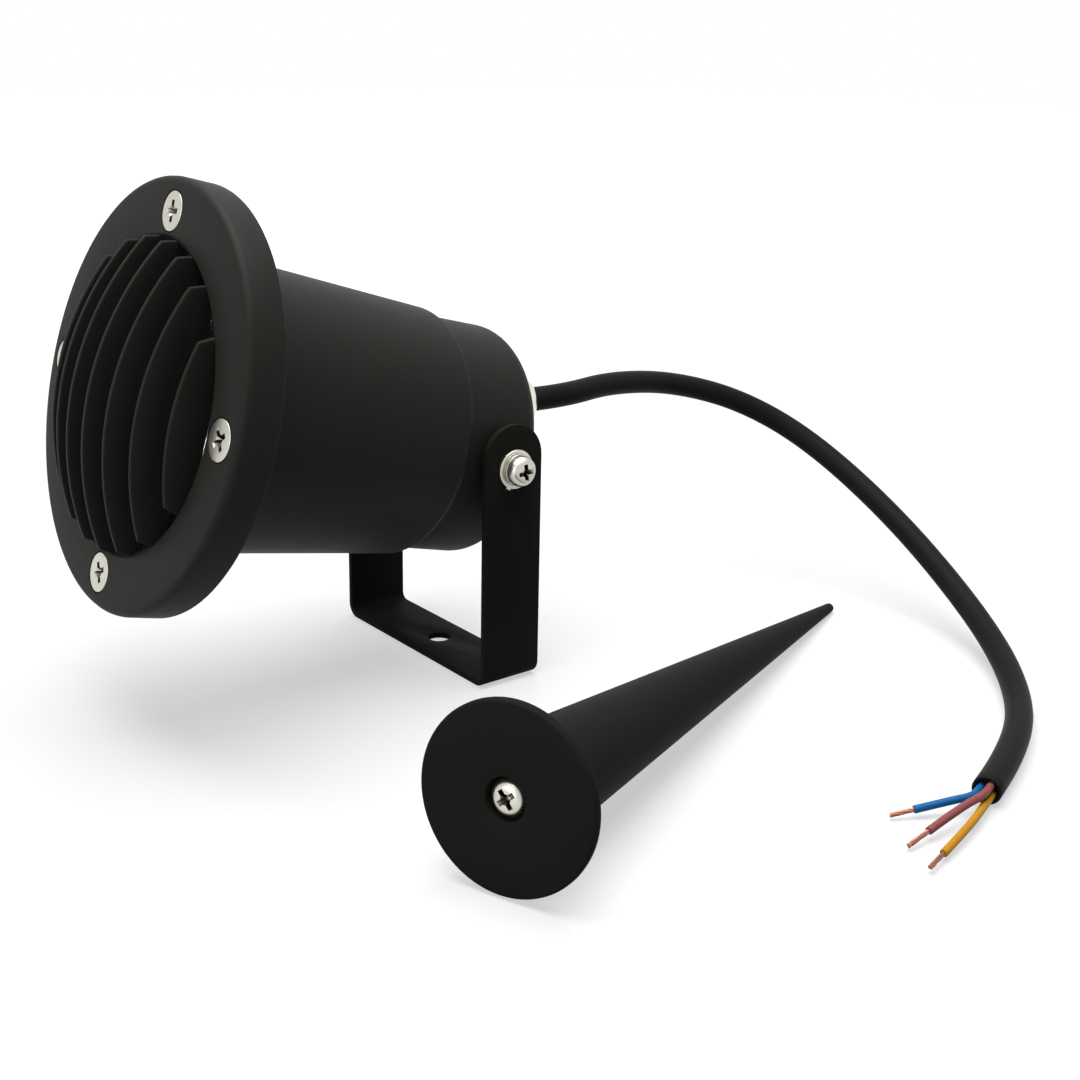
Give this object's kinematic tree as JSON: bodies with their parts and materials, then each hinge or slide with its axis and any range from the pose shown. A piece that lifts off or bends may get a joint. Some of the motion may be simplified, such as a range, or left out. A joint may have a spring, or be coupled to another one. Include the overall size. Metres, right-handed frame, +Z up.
{
  "type": "garden spike spotlight",
  "caption": "Round cast garden spotlight with a finned front ring, tilting in a U bracket over a base hole, with a short cord and its ground spike laid beside it.",
  "frame": {"origin": "centre of the hole in the bracket's base, at the base's underside, on the plane that the spike and the cord lie on", "axes": "+Z up along the base hole, -Y the way the lamp looks, +X towards the side where the spike lies"},
  "size_m": [0.186, 0.2088, 0.1154],
  "materials": {
    "black_coat": "satin black powder coat on die-cast aluminium",
    "strap_coat": "satin black powder coat on steel",
    "black_plastic": "semi-gloss black moulded plastic",
    "clear_glass": "clear toughened glass",
    "nickel": "bright nickel plating on steel",
    "plated_brass": "bright nickel plating on brass",
    "mirror_coat": "mirror-coated pressed glass",
    "ceramic": "glazed white ceramic",
    "zinc_steel": "zinc-plated steel",
    "white_plastic": "white moulded polyamide",
    "brass": "turned brass",
    "black_rubber": "matte black rubber",
    "cord_jacket": "satin black rubber sheath",
    "brown_core": "brown insulation",
    "blue_core": "blue insulation",
    "earth_core": "green and yellow insulation",
    "copper": "bare stranded copper"
  },
  "bodies": {
    "bracket": {"bracket": "strap_coat"},
    "head": {"bezel": "black_coat", "housing": "black_coat", "lens": "clear_glass", "lamp_front_glass": "clear_glass", "lamp_reflector": "mirror_coat", "lamp_base": "ceramic", "lampholder": "ceramic", "lamp_pins": "zinc_steel", "bezel_screws": "nickel", "pivot_screws": "nickel", "flat_washers": "nickel", "spring_washers": "nickel", "holder_plate": "zinc_steel", "plate_screws": "zinc_steel", "holder_screws": "zinc_steel", "terminal_block": "white_plastic", "terminal_screws": "brass", "earth_tag": "brass", "earth_screw": "zinc_steel", "lens_gasket": "black_rubber", "gland_washer": "black_rubber", "gland_seal": "black_rubber", "gland_body": "plated_brass", "gland_nut": "plated_brass", "gland_locknut": "plated_brass", "cord_inner_end": "cord_jacket", "cord": "cord_jacket", "inner_core_brown": "brown_core", "inner_core_blue": "blue_core", "inner_core_earth": "earth_core", "holder_lead_brown": "brown_core", "holder_lead_blue": "blue_core", "core_brown": "brown_core", "core_blue": "blue_core", "core_earth": "earth_core", "copper_ends": "copper"},
    "spike": {"spike": "black_plastic", "spike_insert": "brass", "spike_screw": "nickel"}
  },
  "joints": [
    {"name": "head_tilt", "type": "hinge", "parent": "bracket", "child": "head", "pos_m": [0, 0, 0.0514], "axis": [1, 0, 0], "range_deg": [-60, 44]},
    {"name": "spike_lift", "type": "slide", "parent": "bracket", "child": "spike", "axis": [0, 0, 1], "range_m": [0, 0.06]}
  ]
}
